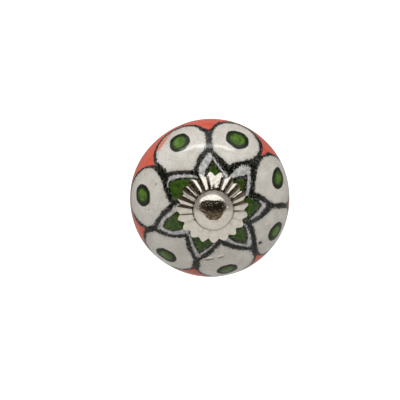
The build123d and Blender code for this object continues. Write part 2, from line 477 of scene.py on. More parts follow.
cells_mask = fade(tree, cells, 0.08, -0.08)
petal_mask = fade(tree, petals, 0.08, -0.08)
core_mask = fade(tree, cores, 0.08, -0.08)
core_line = nearest_of(tree, core_lines)
core_line = calc(tree, "ADD", core_line, calc(tree, "MULTIPLY", ragged, 0.5))
core_line_mask = fade(tree, core_line, 0.3, -0.2)
dot_mask = fade(tree, dots, 0.08, -0.08)
dot_line = inner_stroke(tree, dots, DOT_LINE)
dot_line = calc(tree, "ADD", dot_line, calc(tree, "MULTIPLY", ragged, 0.5))
dot_line_mask = fade(tree, dot_line, 0.2, -0.25)

# White slip, cloudy where it was brushed on thin, with pale and stained grains, greyer beside the black
cloudy = fade(tree, grain(tree, in_mm, 3.2, detail=4.0, rough=0.6), 0.3, 0.7)
white = blend(tree, cloudy, THIN_SLIP, SLIP)
fine = grain(tree, in_mm, 0.5, detail=3.0, rough=0.7, shift=(5, 3, 9))
white = blend(tree, fade(tree, fine, 0.5, 0.72, 0.0, 0.45), white, STAINED_SLIP)
white = blend(tree, fade(tree, fine, 0.46, 0.3, 0.0, 0.5), white, PALE_SLIP)
beside_black = fade(tree, clean_ink, 1.0, 0.0, 0.0, 0.28)
white = blend(tree, beside_black, white, GREYED_SLIP)

around = vector_calc(tree, "NORMALIZE", across)
sweep = vector_calc(tree, "SCALE", around, Scale=1.6)
past = tree.nodes.new("ShaderNodeCombineXYZ")
tree.links.new(calc(tree, "MULTIPLY", lean, CROWN_RADIUS / MM), past.inputs["Y"])
streaks = grain(tree, vector_calc(tree, "ADD", sweep, past.outputs[0]), 0.9, detail=2.0, rough=0.6)
orange_cloud = grain(tree, in_mm, 4.0, detail=3.0, shift=(9, 21, 2))
orange_cloud = calc(tree, "MULTIPLY", orange_cloud, 0.5)
orange_cloud = calc(tree, "ADD", orange_cloud, calc(tree, "MULTIPLY", streaks, 0.5))
orange_cloud = fade(tree, orange_cloud, 0.36, 0.64)
orange = blend(tree, orange_cloud, DEEP_ORANGE, ORANGE)
orange = blend(tree, fade(tree, fine, 0.55, 0.75, 0.0, 0.5), orange, ORANGE_GRAIN)
# The orange is painted darker towards the bottom of the knob, a painted shade.
low_down = fade(tree, parts.outputs["Z"], -13.0, -19.0, 0.0, 0.6)
orange = blend(tree, low_down, orange, ORANGE_IN_PAINTED_SHADE)

green_cloud = fade(tree, grain(tree, in_mm, 1.2, detail=3.0, shift=(3, 41, 8)), 0.35, 0.65)
petal_green = blend(tree, green_cloud, DEEP_LEAF_GREEN, LEAF_GREEN)
dot_green = blend(tree, green_cloud, DEEP_DOT_GREEN, DOT_GREEN)
dot_middle = fade(tree, dots, -0.7, -1.7)
dot_green = blend(tree, dot_middle, DOT_EDGE_GREEN, dot_green)
low_down = fade(tree, parts.outputs["Z"], -8.0, -15.0, 0.0, 0.5)
dot_green = blend(tree, low_down, dot_green, LOW_DOT_GREEN)

band_cloud = fade(tree, grain(tree, in_mm, 0.9, detail=2.0, shift=(13, 1, 5)), 0.35, 0.65)
band = blend(tree, band_cloud, DEEP_BAND_GREY, BAND_GREY)

speckle = fade(tree, grain(tree, in_mm, 0.26, detail=1.0, shift=(7, 2, 19)), 0.55, 0.66)
speckle = calc(tree, "MULTIPLY", speckle, fade(tree, clean_ink, -0.8, -0.1, 0.3, 0.9))
black = blend(tree, speckle, BLACK, BLACK_GRAIN)

colour = blend(tree, cells_mask, orange, white)
smear = calc(tree, "ADD", off_dot(tree, layout, *SMEAR), calc(tree, "MULTIPLY", ragged, 1.5))
colour = blend(tree, fade(tree, smear, 0.25, -0.35, 0.0, 0.8), colour, SMEARED_ORANGE)
colour = blend(tree, petal_mask, colour, band)
colour = blend(tree, core_mask, colour, petal_green)
inside_petal = calc(tree, "MULTIPLY", core_line_mask, petal_mask)
colour = blend(tree, inside_petal, colour, black)
colour = blend(tree, dot_mask, colour, dot_green)
colour = blend(tree, calc(tree, "MULTIPLY", dot_line_mask, 0.88), colour, DOT_BLACK)
specks = nearest_of(tree, [off_dot(tree, layout, *speck) for speck in SPECKS])
colour = blend(tree, fade(tree, specks, 0.1, -0.12, 0.0, 0.75), colour, SPECK_BROWN)
blisters = nearest_of(tree, [off_dot(tree, layout, *blister) for blister in BLISTERS])
# Under each blister lies a painted shadow, the blister's oval moved down, and the blister itself is
# painted lighter as a painted highlight.
below = vector_calc(tree, "ADD", layout, (-0.1, 0.55, 0))
painted_blister_shadow = nearest_of(tree, [off_dot(tree, below, *blister) for blister in BLISTERS])
colour = blend(tree, fade(tree, painted_blister_shadow, 0.25, -0.25, 0.0, 0.8), colour, BLISTER_PAINTED_SHADOW)
colour = blend(tree, fade(tree, blisters, 0.2, -0.2, 0.0, 0.9), colour, BLISTER_PAINTED_HIGHLIGHT)
colour = blend(tree, ink_mask, colour, black)
tree.links.new(colour, glaze_shader.inputs["Base Color"])

all_black = nearest_of(tree, [ink_mask, inside_petal, dot_line_mask], "MAXIMUM")
gloss = fade(tree, grain(tree, in_mm, 2.0, detail=3.0, shift=(8, 8, 1)), 0.3, 0.7, 0.04, 0.08)
rough = calc(tree, "ADD", gloss, calc(tree, "MULTIPLY", all_black, 0.04))
tree.links.new(rough, glaze_shader.inputs["Roughness"])
glaze_shader.inputs["IOR"].default_value = 1.5
glaze_shader.inputs["Specular IOR Level"].default_value = 0.25

# The glaze pools in soft waves over the brush work, and swells over the blisters.
orange_peel = grain(tree, in_mm, 1.6, detail=2.0, shift=(4, 4, 4))
relief = calc(tree, "MULTIPLY", orange_peel, 0.04)
relief = calc(tree, "ADD", relief, calc(tree, "MULTIPLY", all_black, 0.015))
bristle_marks = calc(tree, "MULTIPLY", bristle, all_black)
relief = calc(tree, "ADD", relief, calc(tree, "MULTIPLY", bristle_marks, 0.02))
relief = calc(tree, "ADD", relief, fade(tree, blisters, 0.5, -0.4, 0.0, 0.3))
bump = tree.nodes.new("ShaderNodeBump")
bump.inputs["Distance"].default_value = MM
bump.inputs["Strength"].default_value = 0.4
tree.links.new(relief, bump.inputs["Height"])
tree.links.new(bump.outputs["Normal"], glaze_shader.inputs["Normal"])

ceramic.data.materials.append(glaze)
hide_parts("ceramic_body")
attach(ceramic, "root")


# Fluted cap
# A disc of thin sheet pressed into twenty pleats that grow from a round top to a scalloped rim. It is
# nickel plated, and the bolt's head holds it down on the ceramic.
cap_low, cap_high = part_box("fluted_cap")
CAP_RIM_LOWER = 0.2 * MM
CAP_RIM_FRONT = -cap_high.y - CAP_RIM_LOWER
CAP_TOP_FRONT = -cap_low.y
CAP_RIM_TIP = 8.8 * MM
CAP_TOP_TIP = 5.0 * MM
CAP_SHEET = 0.25 * MM
CAP_HOLE = 2.25 * MM
CAP_SHIFT = (-0.14 * MM, 0, 0.14 * MM)
FLUTES = 20
FIRST_TIP = -3
TIP_DRIFT = 2
DRIFT_FROM = 170
SCALLOP_DEPTH = 0.95 * MM
PLEAT_RISE = 0.25 * MM
PLEAT_RISE_AT_TOP = 0.18 * MM
CONE_BOW = 0.04
# The slope is a share of a plain cone's, and it is flattest to the right, this many radians below
# 3 o'clock.
CONE_STEEPNESS = 0.95
FLATTER_TO_RIGHT = 0.055
FLATTEST_BELOW_RIGHT = 0.45
TIP_ROUNDING = 0.4
NOTCH_ROUNDING = 0.25
CREASE_ROUNDING = 0.1
CAP_POINTS = 480
CAP_RINGS = 10
# The hand-made press is uneven in waves: how deep, how many round the cap, and where they start
UNEVEN_PRESS = ((0.2, 7, 1.3), (0.15, 13, 0))

# The flutes' tips clockwise from the top, in degrees: the press has crowded them on one side.
TIPS = []
for flute in range(FLUTES):
    even = FIRST_TIP + flute * 360 / FLUTES
    TIPS.append(even + TIP_DRIFT * math.sin(math.radians(even - DRIFT_FROM)))


def cut_back(phase):
    """How far the scalloped edge runs back, from 0 on the rounded tip to 1 in the rounded notch."""
    straight = 1 - NOTCH_ROUNDING
    if phase < TIP_ROUNDING:
        back = phase**2 / (2 * TIP_ROUNDING)
    elif phase < straight:
        back = phase - TIP_ROUNDING / 2
    else:
        back = phase - TIP_ROUNDING / 2 - (phase - straight) ** 2 / (2 * NOTCH_ROUNDING)
    return back / (1 - TIP_ROUNDING / 2 - NOTCH_ROUNDING / 2)


def crease_sink(phase):
    """How far the sheet sinks between two flutes, from 0 along the tip to 1 in the rounded crease."""
    wall = 1 - CREASE_ROUNDING
    if phase < wall:
        return phase**2 / wall
    return wall + 2 * (phase - wall) - (phase - wall) ** 2 / CREASE_ROUNDING


def flute_phase(turn):
    """Where a point lies on its flute, from 0 on the tip to 1 in the notch."""
    clock = 90 - math.degrees(turn)
    for tip, next_tip in zip(TIPS, TIPS[1:] + TIPS[:1]):
        width = (next_tip - tip) % 360
        past_tip = (clock - tip) % 360
        if past_tip < width:
            return 1 - abs(2 * past_tip / width - 1)


def place_ring(up_cone):
    """Sets the selected ring on the scalloped cone, flatter to the right, and sinks its creases."""
    mesh = bmesh.from_edit_mesh(bpy.context.object.data)
    tip = CAP_RIM_TIP + (CAP_TOP_TIP - CAP_RIM_TIP) * up_cone
    scallop = SCALLOP_DEPTH * (1 - up_cone) ** 2
    rise = PLEAT_RISE + (PLEAT_RISE_AT_TOP - PLEAT_RISE) * up_cone
    slope = (CAP_TOP_FRONT - CAP_RIM_FRONT) / (CAP_RIM_TIP - CAP_TOP_TIP)
    crease = mesh.verts.layers.float.get("crease") or mesh.verts.layers.float.new("crease")
    ring = [point for point in mesh.verts if point.select]
    for point in ring:
        turn = math.atan2(point.co.z, point.co.x)
        phase = flute_phase(turn)
        hand = 1 + sum(share * math.sin(waves * turn + start) for share, waves, start in UNEVEN_PRESS)
        wanted = tip - scallop * hand * cut_back(phase)
        out = (wanted - CAP_TOP_TIP) / (CAP_RIM_TIP - CAP_TOP_TIP)
        bow = CONE_BOW * out * (1 - out) * (CAP_RIM_TIP - CAP_TOP_TIP)
        steepness = CONE_STEEPNESS - FLATTER_TO_RIGHT * math.cos(turn + FLATTEST_BELOW_RIGHT)
        front = CAP_TOP_FRONT - (wanted - CAP_TOP_TIP) * slope * steepness + bow
        back = rise * hand * crease_sink(phase) - front
        point.co = (wanted * math.cos(turn), back, wanted * math.sin(turn))
        point[crease] = phase
    bmesh.update_edit_mesh(bpy.context.object.data)


pick_object(None)
bpy.ops.mesh.primitive_circle_add(
    vertices=CAP_POINTS,
    radius=CAP_RIM_TIP,
    location=(0, -CAP_RIM_FRONT, 0),
    rotation=(math.pi / 2, 0, 0),
)
cap = name_piece("pleated_cap")
bpy.ops.object.transform_apply(location=True, rotation=True, scale=True)
bpy.ops.object.mode_set(mode="EDIT")
bpy.ops.mesh.select_all(action="SELECT")
place_ring(0)
for ring in range(1, CAP_RINGS + 1):
    bpy.ops.mesh.extrude_region_move(TRANSFORM_OT_translate={"value": (0, 0, 0)})
    place_ring(ring / CAP_RINGS)
bpy.ops.mesh.extrude_region_move(TRANSFORM_OT_translate={"value": (0, 0, 0)})
hole_share = CAP_HOLE / CAP_TOP_TIP
bpy.ops.transform.resize(value=(hole_share, 1, hole_share))
bpy.ops.mesh.select_all(action="SELECT")
bpy.ops.mesh.extrude_region_move(TRANSFORM_OT_translate={"value": (0, CAP_SHEET, 0)})
bpy.ops.mesh.select_all(action="SELECT")
bpy.ops.transform.translate(value=CAP_SHIFT)
close_mesh(cap)
bpy.ops.object.shade_smooth_by_angle(angle=math.radians(30))


# Every plated piece shares the plating's haze, its fine waves and pits, and rings where a lathe has
# been.
plating = bpy.data.node_groups.new("plating", "ShaderNodeTree")
for socket_name, socket_type in (
    ("Place", "NodeSocketVector"),
    ("Bright", "NodeSocketColor"),
    ("Dull", "NodeSocketColor"),
    ("Polish", "NodeSocketFloat"),
    ("Turning Marks", "NodeSocketFloat"),
    ("Pits", "NodeSocketFloat"),
):
    plating.interface.new_socket(socket_name, in_out="INPUT", socket_type=socket_type)
for socket_name, socket_type in (
    ("Color", "NodeSocketColor"),
    ("Roughness", "NodeSocketFloat"),
    ("Normal", "NodeSocketVector"),
):
    plating.interface.new_socket(socket_name, in_out="OUTPUT", socket_type=socket_type)
given = plating.nodes.new("NodeGroupInput").outputs
made = plating.nodes.new("NodeGroupOutput").inputs
haze = fade(plating, grain(plating, given["Place"], 1.3, detail=4.0, rough=0.6), 0.35, 0.7)
feed(plating, made["Color"], blend(plating, haze, given["Bright"], given["Dull"]))
roughness = calc(plating, "ADD", calc(plating, "MULTIPLY", haze, 0.06), given["Polish"])
feed(plating, made["Roughness"], roughness)
wave = grain(plating, given["Place"], 0.9, detail=2.0, shift=(3, 3, 7))
wave = calc(plating, "MULTIPLY", wave, 0.03)
dents = grain(plating, given["Place"], 0.36, detail=1.0, shift=(1, 9, 2))
pits = calc(plating, "MULTIPLY", fade(plating, dents, 0.6, 0.74, 0.0, -0.05), given["Pits"])
across = vector_calc(plating, "MULTIPLY", given["Place"], (1, 0, 1))
along = vector_calc(plating, "DOT_PRODUCT", given["Place"], (0, 0.8, 0), output="Value")
tool_path = calc(plating, "ADD", vector_calc(plating, "LENGTH", across, output="Value"), along)
rings = plating.nodes.new("ShaderNodeCombineXYZ")
feed(plating, rings.inputs["X"], tool_path)
grooves = grain(plating, rings.outputs[0], 0.16, detail=2.0)
grooves = calc(plating, "MULTIPLY", grooves, given["Turning Marks"])
grooves = calc(plating, "MULTIPLY", grooves, 0.06)
relief = calc(plating, "ADD", calc(plating, "ADD", wave, pits), grooves)
bump = plating.nodes.new("ShaderNodeBump")
bump.inputs["Distance"].default_value = MM
bump.inputs["Strength"].default_value = 0.6
feed(plating, bump.inputs["Height"], relief)
feed(plating, made["Normal"], bump.outputs["Normal"])


def plated_finish(name, bright, dull, polish, turning_marks=0.0, pits=1.0):
    """Metal with the shared plating."""
    material, tree, shader = new_material(name)
    coordinates = tree.nodes.new("ShaderNodeTexCoord").outputs["Object"]
    place = vector_calc(tree, "SCALE", coordinates, Scale=1 / MM)
    coat = tree.nodes.new("ShaderNodeGroup")
    coat.node_tree = plating
    feed(tree, coat.inputs["Place"], place)
    feed(tree, coat.inputs["Bright"], bright)
    feed(tree, coat.inputs["Dull"], dull)
    feed(tree, coat.inputs["Polish"], polish)
    feed(tree, coat.inputs["Turning Marks"], turning_marks)
    feed(tree, coat.inputs["Pits"], pits)
    feed(tree, shader.inputs["Base Color"], coat.outputs["Color"])
    feed(tree, shader.inputs["Roughness"], coat.outputs["Roughness"])
    feed(tree, shader.inputs["Normal"], coat.outputs["Normal"])
    shader.inputs["Metallic"].default_value = 1.0
    return material, tree, shader, coat, place


NICKEL = (0.78, 0.73, 0.65, 1)
DULL_NICKEL = (0.68, 0.63, 0.55, 1)
SHADE_AND_TARNISH_BROWN = (0.2, 0.165, 0.12, 1)
MIRROR_POLISH = 0.04
flute_nickel, tree, shader, coat, place = plated_finish(
    "nickel_flutes", NICKEL, DULL_NICKEL, MIRROR_POLISH, pits=0.35
)

# Polish doesn't reach the creases, which stay brown and dull. The brown in the creases is partly tarnish
# and partly painted shade.
off_tip = tree.nodes.new("ShaderNodeAttribute")
off_tip.attribute_name = "crease"
crease = fade(tree, off_tip.outputs["Fac"], 0.8, 0.98)
patchy = fade(tree, grain(tree, place, 0.8, detail=2.0, shift=(6, 2, 2)), 0.45, 0.75, 0.0, 0.6)
shade_and_tarnish = calc(tree, "MULTIPLY", crease, patchy)
across = vector_calc(tree, "MULTIPLY", place, (1, 0, 1))
from_axis = vector_calc(tree, "LENGTH", across, output="Value")
# Near the bolt's head the creases darken, partly dirt and partly painted shade, and a thin painted
# shadow rings the head.
by_head = fade(tree, from_axis, 6.2, 5.0, 0.0, 0.55)
head_dirt_and_shade = fade(tree, grain(tree, place, 0.5, detail=2.0, shift=(2, 8, 5)), 0.42, 0.6)
head_dirt_and_shade = calc(tree, "MULTIPLY", head_dirt_and_shade, by_head)
head_dirt_and_shade = calc(tree, "MULTIPLY", head_dirt_and_shade, fade(tree, off_tip.outputs["Fac"], 0.4, 0.85))
head_painted_shadow = fade(tree, from_axis, 5.3, 5.05, 0.0, 0.8)
shade_and_tarnish = calc(tree, "MAXIMUM", calc(tree, "MAXIMUM", shade_and_tarnish, head_dirt_and_shade), head_painted_shadow)
worn_and_shaded_colour = blend(tree, shade_and_tarnish, coat.outputs["Color"], SHADE_AND_TARNISH_BROWN)
feed(tree, shader.inputs["Base Color"], worn_and_shaded_colour)
dullness = calc(tree, "MULTIPLY", shade_and_tarnish, 0.25)
feed(tree, shader.inputs["Roughness"], calc(tree, "ADD", coat.outputs["Roughness"], dullness))

# The press has drawn fine marks along the flutes.
round_axis = vector_calc(tree, "NORMALIZE", across)
marks = grain(tree, vector_calc(tree, "SCALE", round_axis, Scale=7.0), 0.55, detail=1.0)
drawn = tree.nodes.new("ShaderNodeBump")
drawn.inputs["Distance"].default_value = MM
drawn.inputs["Strength"].default_value = 0.6
feed(tree, drawn.inputs["Height"], calc(tree, "MULTIPLY", marks, 0.12))
feed(tree, drawn.inputs["Normal"], coat.outputs["Normal"])
feed(tree, shader.inputs["Normal"], drawn.outputs["Normal"])
cap.data.materials.append(flute_nickel)
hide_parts("fluted_cap")
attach(cap, "root")


# Dome bolt
# A steel bolt with a polished domed head, plated like the cap. Its shank runs through cap, ceramic and
# collar, and its cut thread takes the nut behind the board.
bolt_low, bolt_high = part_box("dome_bolt")
DOME_RADIUS = bolt_high.x
DOME_TOP = -bolt_low.y
STUD_END = -bolt_high.y
DOME_SHOULDER = 2.8 * MM
DOME_LAND = 0.2 * MM
DOME_CHAMFER = 0.1 * MM
SHANK_RADIUS = 2 * MM
STUD_CHAMFER = 0.5 * MM
THREAD_FRONT = -2 * MM
THREAD_PITCH = 0.7 * MM
THREAD_DEPTH = 0.4 * MM
THREAD_RUN_IN = 1.5 * THREAD_PITCH
THREAD_STEPS = 36
TRIM_TOLERANCE = 0.0001 * MM
DOME_STEPS = 128

land_front = CAP_TOP_FRONT + DOME_LAND
dome_rise = DOME_TOP - land_front
dome_shoulder_x = DOME_RADIUS - DOME_SHOULDER
dome_over_shoulder = dome_rise - DOME_SHOULDER
dome_crown = (dome_rise**2 + dome_shoulder_x**2 - DOME_SHOULDER**2) / (2 * dome_over_shoulder)
dome_centre = DOME_TOP - dome_crown
dome_join = math.atan2(land_front - dome_centre, dome_shoulder_x)
bolt = start_section("domed_bolt", 0, DOME_TOP)
draw_arc(0, dome_centre, dome_join - math.pi / 2, steps=24)
draw_arc(dome_shoulder_x, land_front, -dome_join, steps=16)
draw_line(DOME_RADIUS, CAP_TOP_FRONT + DOME_CHAMFER)
draw_line(DOME_RADIUS - DOME_CHAMFER, CAP_TOP_FRONT)
draw_line(SHANK_RADIUS, CAP_TOP_FRONT)
draw_line(SHANK_RADIUS, THREAD_FRONT)
draw_line(0, THREAD_FRONT)
turn_section(bolt, DOME_STEPS)

# One pitch of the thread is drawn and wound down the stud, then trimmed to length. A crest takes two
# sixteenths of the pitch, a flank five and a root four.
sixteenth = THREAD_PITCH / 16
root_radius = SHANK_RADIUS - THREAD_DEPTH
wound_from = THREAD_FRONT + THREAD_PITCH
thread = start_section("stud_thread", root_radius, wound_from)
draw_line(SHANK_RADIUS, wound_from - 5 * sixteenth)
draw_line(SHANK_RADIUS, wound_from - 7 * sixteenth)
draw_line(root_radius, wound_from - 12 * sixteenth)
draw_line(root_radius, wound_from - THREAD_PITCH)
pick_object(thread)
winding = thread.modifiers.new("winding", "SCREW")
winding.axis = "Y"
winding.screw_offset = THREAD_PITCH
winding.iterations = math.ceil((wound_from - STUD_END) / THREAD_PITCH) + 1
winding.steps = THREAD_STEPS
winding.render_steps = THREAD_STEPS
bpy.ops.object.modifier_apply(modifier=winding.name)
bpy.ops.object.mode_set(mode="EDIT")
bpy.ops.mesh.select_all(action="SELECT")
bpy.ops.mesh.remove_doubles(threshold=SAME_PLACE)
wound = bmesh.from_edit_mesh(thread.data)
for point in wound.verts:
    reach = math.hypot(point.co.x, point.co.z)
    run_in = min(1, max(0, (THREAD_FRONT + point.co.y) / THREAD_RUN_IN))
    wanted = SHANK_RADIUS - (SHANK_RADIUS - reach) * run_in
    wanted = min(wanted, SHANK_RADIUS - max(0, point.co.y + STUD_END + STUD_CHAMFER))
    point.co.x *= wanted / reach
    point.co.z *= wanted / reach
bmesh.update_edit_mesh(thread.data)
bpy.ops.mesh.select_all(action="SELECT")
bpy.ops.mesh.bisect(
    plane_co=(0, -THREAD_FRONT, 0),
    plane_no=(0, 1, 0),
    use_fill=True,
    clear_inner=True,
    threshold=TRIM_TOLERANCE,
)
bpy.ops.mesh.select_all(action="SELECT")
bpy.ops.mesh.bisect(
    plane_co=(0, -STUD_END, 0),
    plane_no=(0, 1, 0),
    use_fill=True,
    clear_outer=True,
    threshold=TRIM_TOLERANCE,
)
close_mesh(thread)
pick_object(thread)
bolt.select_set(True)
bpy.context.view_layer.objects.active = bolt
bpy.ops.object.join()
bpy.ops.object.shade_smooth_by_angle(angle=math.radians(35))
nickel = plated_finish("nickel_plate", NICKEL, DULL_NICKEL, MIRROR_POLISH)[0]
bolt.data.materials.append(nickel)
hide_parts("dome_bolt")
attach(bolt, "root")


# Back collar
# A turned metal ring between the ceramic and the drawer front, plated like the cap. The body's foot
# stands on its seat, its side flares to a foot ring, and the recess inside that ring keeps it flat on
# the board.
collar_low, collar_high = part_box("back_collar")
COLLAR_FRONT = -collar_low.y
COLLAR_RADIUS = collar_high.x
COLLAR_SEAT = 8.6 * MM
COLLAR_EDGE = 1.2 * MM
COLLAR_FOOT = 2.2 * MM
COLLAR_RECESS = 1.8 * MM
COLLAR_HOLE = 2.15 * MM
COLLAR_SOFTNESS = 0.15 * MM
COLLAR_POLISH = 0.14
COLLAR_STEPS = 128


def soften_edges(piece, width):
    """Rounds a piece's hard edges a little, as handling and plating leave them."""
    pick_object(piece)
    soft = piece.modifiers.new("soft_edges", "BEVEL")
    soft.width = width
    soft.segments = 3
    soft.limit_method = "ANGLE"
    soft.angle_limit = math.radians(25)
    bpy.ops.object.modifier_apply(modifier=soft.name)
    bpy.ops.object.shade_smooth_by_angle(angle=math.radians(40))


collar = start_section("turned_collar", COLLAR_HOLE, COLLAR_FRONT)
draw_line(COLLAR_SEAT, COLLAR_FRONT)
draw_line(COLLAR_RADIUS, COLLAR_EDGE)
draw_line(COLLAR_RADIUS, 0)
draw_line(COLLAR_RADIUS - COLLAR_FOOT, 0)
draw_line(COLLAR_RADIUS - COLLAR_FOOT, COLLAR_RECESS)
draw_line(COLLAR_HOLE, COLLAR_RECESS)
draw_line(COLLAR_HOLE, COLLAR_FRONT)
turn_section(collar, COLLAR_STEPS)
soften_edges(collar, COLLAR_SOFTNESS)
turned_nickel = plated_finish(
    "turned_nickel", NICKEL, DULL_NICKEL, COLLAR_POLISH, turning_marks=0.5
)[0]
collar.data.materials.append(turned_nickel)
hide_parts("back_collar")
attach(collar, "root")


# Flat washer
# A standard washer stamped from zinc-plated steel sheet. The nut presses it against the inside of the
# board.
washer_low, washer_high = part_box("flat_washer")
WASHER_HOLE = 2.15 * MM
WASHER_SOFTNESS = 0.1 * MM
WASHER_STEPS = 96
ZINC = (0.6, 0.6, 0.62, 1)
DULL_ZINC = (0.5, 0.5, 0.52, 1)
ZINC_POLISH = 0.22

washer = start_section("stamped_washer", WASHER_HOLE, -washer_low.y)
draw_line(washer_high.x, -washer_low.y)
draw_line(washer_high.x, -washer_high.y)
draw_line(WASHER_HOLE, -washer_high.y)
draw_line(WASHER_HOLE, -washer_low.y)
turn_section(washer, WASHER_STEPS)
soften_edges(washer, WASHER_SOFTNESS)
zinc = plated_finish("zinc_plate", ZINC, DULL_ZINC, ZINC_POLISH, turning_marks=0.15)[0]
washer.data.materials.append(zinc)
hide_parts("flat_washer")
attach(washer, "root")


# Hexagon nut
# A standard zinc-plated nut. Its corners are turned down on both sides, and its bore opens in a
# chamfered mouth.
nut_low, nut_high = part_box("hex_nut")
NUT_FRONT = -nut_low.y
NUT_BACK = -nut_high.y
NUT_CORNER = nut_high.x
NUT_FLAT = nut_high.z
NUT_BORE = 2.05 * MM
NUT_MOUTH = 0.3 * MM
NUT_CORNER_ANGLE = math.radians(30)
NUT_DROP = (NUT_CORNER - NUT_FLAT) * math.tan(NUT_CORNER_ANGLE)
NUT_STEPS = 96

pick_object(None)
bpy.ops.mesh.primitive_cylinder_add(
    vertices=6,
    radius=NUT_CORNER,
    depth=NUT_FRONT - NUT_BACK,
    location=(0, -(NUT_FRONT + NUT_BACK) / 2, 0),
    rotation=(math.pi / 2, math.pi / 6, 0),
)
nut = name_piece("chamfered_nut")
bpy.ops.object.transform_apply(location=True, rotation=True, scale=True)
turned_nut = start_section("turned_nut", NUT_BORE + NUT_MOUTH, NUT_FRONT)
draw_line(NUT_FLAT, NUT_FRONT)
draw_line(NUT_CORNER, NUT_FRONT - NUT_DROP)
draw_line(NUT_CORNER, NUT_BACK + NUT_DROP)
draw_line(NUT_FLAT, NUT_BACK)
draw_line(NUT_BORE + NUT_MOUTH, NUT_BACK)
draw_line(NUT_BORE, NUT_BACK + NUT_MOUTH)
draw_line(NUT_BORE, NUT_FRONT - NUT_MOUTH)
draw_line(NUT_BORE + NUT_MOUTH, NUT_FRONT)
turn_section(turned_nut, NUT_STEPS)
pick_object(nut)
turned_down = nut.modifiers.new("turned_down", "BOOLEAN")
turned_down.operation = "INTERSECT"
turned_down.solver = "EXACT"
turned_down.object = turned_nut
bpy.ops.object.modifier_apply(modifier=turned_down.name)
bpy.data.objects.remove(turned_nut, do_unlink=True)
bpy.ops.object.shade_smooth_by_angle(angle=math.radians(25))
nut.data.materials.append(zinc)
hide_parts("hex_nut")
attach(nut, "root")


# Studio
# White paper below the knob, a long soft box above it with a bare tube along its lower edge, a soft
# front fill, and a dark card round the camera for the plated metal to reflect.
KNOB_MIDDLE = Vector((0, -WIDEST_FRONT, 0))
FLOOR_DROP = 0.1
FLOOR_SIZE = 6
PAPER_WHITE = (0.86, 0.85, 0.83, 1)
PAPER_GLOW = (1, 0.99, 0.97, 1)
PAPER_IN_METAL = 0.18

pick_object(None)
bpy.ops.mesh.primitive_plane_add(size=FLOOR_SIZE, location=(0, 0, -FLOOR_DROP))
floor = name_piece("floor")
bpy.ops.object.transform_apply(location=True, rotation=True, scale=True)
paper, tree, paper_shader = new_material("white_paper")
paper_shader.inputs["Base Color"].default_value = PAPER_WHITE
paper_shader.inputs["Roughness"].default_value = 0.8
paper_shader.inputs["Specular IOR Level"].default_value = 0.0
rays = tree.nodes.new("ShaderNodeLightPath")
place = tree.nodes.new("ShaderNodeTexCoord").outputs["Object"]
away = vector_calc(tree, "DISTANCE", place, (0, KNOB_MIDDLE.y, -FLOOR_DROP), output="Value")
lift = fade(tree, away, 0.05, 0.3, 0.35, 1.0)
camera_lift = calc(tree, "MULTIPLY", lift, rays.outputs["Is Camera Ray"])
glossy_lift = calc(tree, "MULTIPLY", rays.outputs["Is Glossy Ray"], PAPER_IN_METAL)
paper_shader.inputs["Emission Color"].default_value = PAPER_GLOW
glow = calc(tree, "ADD", camera_lift, glossy_lift)
tree.links.new(glow, paper_shader.inputs["Emission Strength"])

# Seen from below, the paper lets the knob show.
clear = tree.nodes.new("ShaderNodeBsdfTransparent")
one_sided = tree.nodes.new("ShaderNodeMixShader")
underside = tree.nodes.new("ShaderNodeNewGeometry").outputs["Backfacing"]
tree.links.new(underside, one_sided.inputs["Fac"])
tree.links.new(paper_shader.outputs["BSDF"], one_sided.inputs[1])
tree.links.new(clear.outputs["BSDF"], one_sided.inputs[2])
tree.links.new(one_sided.outputs["Shader"], tree.nodes["Material Output"].inputs["Surface"])
floor.data.materials.append(paper)

# The card is cut from a ball round the knob as a wide oval with a smaller one hanging from it.
CARD_AWAY = 0.14
CARD_OVALS = (
    # middle to the right and up of straight ahead, half width, half height in degrees, and fullness
    (-4, 17.5, 72, 33, 2.6),
    (0, -8, 48, 44, 1.8),
)
FELT_BROWN = (0.02, 0.016, 0.01, 1)
CARD_DARK = (0.003, 0.002, 0.001, 1)
CARD_LOW = (0.13, 0.093, 0.06, 1)
CARD_RIGHT = (0.14, 0.115, 0.08, 1)
CARD_LEFT = (0.09, 0.07, 0.045, 1)
PALE_CLUTTER = (0.16, 0.125, 0.08, 1)
DARK_CLUTTER = (0.006, 0.004, 0.002, 1)


def on_card(azimuth, elevation):
    """Whether a direction lies on the dark card."""
    for right, up, half_width, half_height, fullness in CARD_OVALS:
        across = abs(azimuth - right) / half_width
        along = abs(elevation - up) / half_height
        if across**fullness + along**fullness < 1:
            return True
    return False


pick_object(None)
bpy.ops.mesh.primitive_uv_sphere_add(segments=180, ring_count=90, radius=CARD_AWAY)
card = name_piece("dark_card")
bpy.ops.object.mode_set(mode="EDIT")
bpy.ops.mesh.select_all(action="DESELECT")
ball = bmesh.from_edit_mesh(card.data)
for face in ball.faces:
    middle = face.calc_center_median()
    azimuth = math.degrees(math.atan2(middle.x, -middle.y))
    elevation = math.degrees(math.asin(middle.z / middle.length))
    face.select = not on_card(azimuth, elevation)
bmesh.update_edit_mesh(card.data)
bpy.ops.mesh.delete(type="FACE")
bpy.ops.mesh.select_all(action="SELECT")
bpy.ops.transform.translate(value=(0, -FLAT_FRONT, 0))
pick_object(card)
felt, tree, felt_shader = new_material("dark_felt")
felt_shader.inputs["Base Color"].default_value = FELT_BROWN
felt_shader.inputs["Roughness"].default_value = 1.0
felt_shader.inputs["Specular IOR Level"].default_value = 0.0
coordinates = tree.nodes.new("ShaderNodeTexCoord").outputs["Object"]
card_place = tree.nodes.new("ShaderNodeSeparateXYZ")
tree.links.new(coordinates, card_place.inputs[0])
low_down = fade(tree, card_place.outputs["Z"], 0.015, -0.04)
warm = blend(tree, low_down, CARD_DARK, CARD_LOW)
to_right = fade(tree, card_place.outputs["X"], 0.09, 0.13, 0.0, 0.9)
